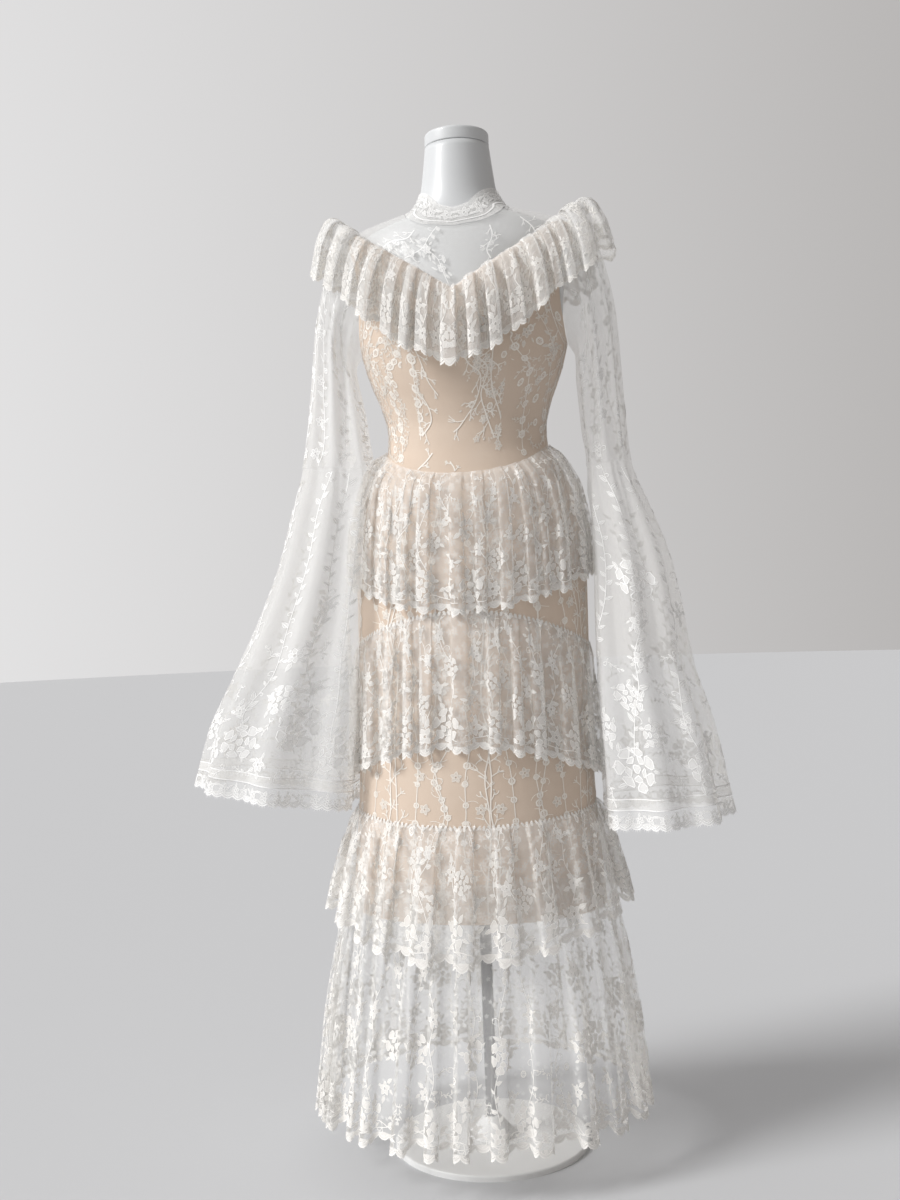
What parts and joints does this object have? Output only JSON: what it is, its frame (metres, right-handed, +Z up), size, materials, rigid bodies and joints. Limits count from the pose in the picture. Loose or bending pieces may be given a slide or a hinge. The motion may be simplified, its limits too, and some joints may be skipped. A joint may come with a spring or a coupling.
{
  "type": "lace wedding dress on dress form with stand",
  "caption": "Long lace wedding dress with stand collar, V-shaped neck ruffle, bell sleeves and tiered flounced skirt, filled out by a limbless dress form on a round-based stand",
  "frame": {"origin": "middle of the underside of the stand's round base, on the floor", "axes": "+Z up, -Y the front of the dress, +X the wearer's left"},
  "size_m": [0.8339, 0.4878, 1.558],
  "materials": {
    "lace": "ivory floral lace on fine sheer net",
    "lining": "matte nude lining cloth under lace",
    "form_shell": "smooth white satin shell",
    "stand_metal": "grey metal tube",
    "stand_base": "satin white paint"
  },
  "bodies": {
    "root": {"form_torso": "form_shell", "form_neck_cap": "form_shell", "stand_pole": "stand_metal", "stand_base": "stand_base", "stand_hub": "stand_base", "collar": "lace", "yoke_front": "lace", "yoke_back_left": "lace", "yoke_back_right": "lace", "bodice_centre_front": "lining", "bodice_side_front_left": "lining", "bodice_side_front_right": "lining", "bodice_back_left": "lining", "bodice_back_right": "lining", "neck_ruffle": "lace", "sleeve_upper_left": "lace", "sleeve_bell_left": "lace", "sleeve_trim_left": "lace", "sleeve_upper_right": "lace", "sleeve_bell_right": "lace", "sleeve_trim_right": "lace", "skirt_front": "lining", "skirt_back_left": "lining", "skirt_back_right": "lining", "tier_1": "lace", "tier_2": "lace", "tier_3": "lace", "tier_4_front": "lace", "tier_4_back": "lace"}
  },
  "joints": []
}
